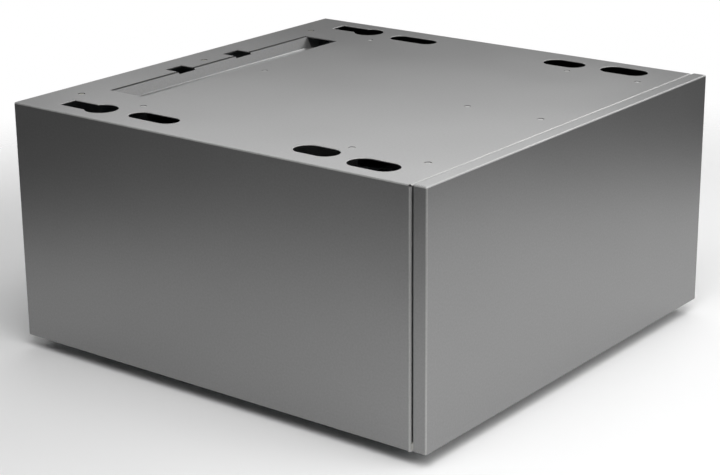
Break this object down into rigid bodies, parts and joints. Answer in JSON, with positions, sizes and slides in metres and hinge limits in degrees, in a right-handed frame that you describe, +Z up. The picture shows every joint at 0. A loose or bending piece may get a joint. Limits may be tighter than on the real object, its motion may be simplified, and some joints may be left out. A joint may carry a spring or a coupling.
{
  "type": "laundry pedestal with drawer",
  "caption": "Low steel stand for a front load washing machine, with a full-width drawer on telescopic slides, machine foot slots in its top and levelling feet.",
  "frame": {"origin": "middle of the footprint, on the floor, between the four feet", "axes": "+Z up, -Y out of the drawer front, +X to the right of someone facing the drawer"},
  "size_m": [0.595, 0.6, 0.311],
  "materials": {
    "satin_grey_steel": "satin grey powder coat",
    "zinc_coated_steel": "galvanised sheet",
    "bright_zinc_steel": "bright zinc plate",
    "drawer_coated_steel": "light grey powder coat",
    "zinc_fasteners": "zinc plated",
    "black_plastic": "moulded, fine texture",
    "grey_plastic": "moulded acetal",
    "buffer_rubber": "soft moulded",
    "board_core": "pressed fibre board"
  },
  "bodies": {
    "cabinet": {"back_panel": "zinc_coated_steel", "back_panel_screws": "zinc_fasteners", "front_base_rail": "zinc_coated_steel", "front_top_rail": "zinc_coated_steel", "left_base_rail": "zinc_coated_steel", "left_cabinet_slide": "bright_zinc_steel", "left_latch_housing": "black_plastic", "left_rear_post": "zinc_coated_steel", "left_slide_bracket": "zinc_coated_steel", "lock_nuts": "zinc_fasteners", "middle_top_rail": "zinc_coated_steel", "panel_buffers": "buffer_rubber", "rear_base_rail": "zinc_coated_steel", "rear_top_rail": "zinc_coated_steel", "right_base_rail": "zinc_coated_steel", "right_cabinet_slide": "bright_zinc_steel", "right_latch_housing": "black_plastic", "right_rear_post": "zinc_coated_steel", "right_slide_bracket": "zinc_coated_steel", "slide_screws": "zinc_fasteners", "top_screws": "zinc_fasteners", "weld_nuts": "zinc_fasteners", "wrapper": "satin_grey_steel"},
    "drawer": {"front_panel": "satin_grey_steel", "panel_backing": "zinc_coated_steel", "panel_core": "board_core", "drawer_front_wall": "drawer_coated_steel", "drawer_back_wall": "drawer_coated_steel", "drawer_floor": "drawer_coated_steel", "left_drawer_side": "drawer_coated_steel", "right_drawer_side": "drawer_coated_steel", "left_drawer_slide": "bright_zinc_steel", "right_drawer_slide": "bright_zinc_steel", "drawer_slide_screws": "zinc_fasteners", "panel_screws": "zinc_fasteners", "strike_plates": "zinc_coated_steel"},
    "left_slide_middle": {"left_middle_slide": "bright_zinc_steel"},
    "left_latch": {"left_latch_plunger": "grey_plastic"},
    "right_slide_middle": {"right_middle_slide": "bright_zinc_steel"},
    "right_latch": {"right_latch_plunger": "grey_plastic"},
    "front_left_foot": {"front_left_foot_stud": "zinc_fasteners", "front_left_foot_pad": "black_plastic"},
    "front_right_foot": {"front_right_foot_stud": "zinc_fasteners", "front_right_foot_pad": "black_plastic"},
    "rear_left_foot": {"rear_left_foot_stud": "zinc_fasteners", "rear_left_foot_pad": "black_plastic"},
    "rear_right_foot": {"rear_right_foot_stud": "zinc_fasteners", "rear_right_foot_pad": "black_plastic"}
  },
  "joints": [
    {"name": "drawer_pull", "type": "slide", "parent": "cabinet", "child": "drawer", "axis": [0, -1, 0], "range_m": [0, 0.42]},
    {"name": "left_slide_travel", "type": "slide", "parent": "cabinet", "child": "left_slide_middle", "axis": [0, -1, 0], "range_m": [0, 0.21]},
    {"name": "right_slide_travel", "type": "slide", "parent": "cabinet", "child": "right_slide_middle", "axis": [0, -1, 0], "range_m": [0, 0.21]},
    {"name": "left_latch_push", "type": "slide", "parent": "cabinet", "child": "left_latch", "axis": [0, 1, 0], "range_m": [0, 0.003], "stiffness_N_per_m": 800, "springref_m": -0.002},
    {"name": "right_latch_push", "type": "slide", "parent": "cabinet", "child": "right_latch", "axis": [0, 1, 0], "range_m": [0, 0.003], "stiffness_N_per_m": 800, "springref_m": -0.002},
    {"name": "front_left_foot_turn", "type": "hinge", "parent": "cabinet", "child": "front_left_foot", "pos_m": [-0.2375, -0.24, 0], "axis": [0, 0, 1], "continuous": true},
    {"name": "front_right_foot_turn", "type": "hinge", "parent": "cabinet", "child": "front_right_foot", "pos_m": [0.2375, -0.24, 0], "axis": [0, 0, 1], "continuous": true},
    {"name": "rear_left_foot_turn", "type": "hinge", "parent": "cabinet", "child": "rear_left_foot", "pos_m": [-0.2375, 0.24, 0], "axis": [0, 0, 1], "continuous": true},
    {"name": "rear_right_foot_turn", "type": "hinge", "parent": "cabinet", "child": "rear_right_foot", "pos_m": [0.2375, 0.24, 0], "axis": [0, 0, 1], "continuous": true}
  ],
  "couplings": [
    {"joint": "left_slide_travel", "follows": "drawer_pull", "ratio": 0.5},
    {"joint": "right_slide_travel", "follows": "drawer_pull", "ratio": 0.5}
  ]
}
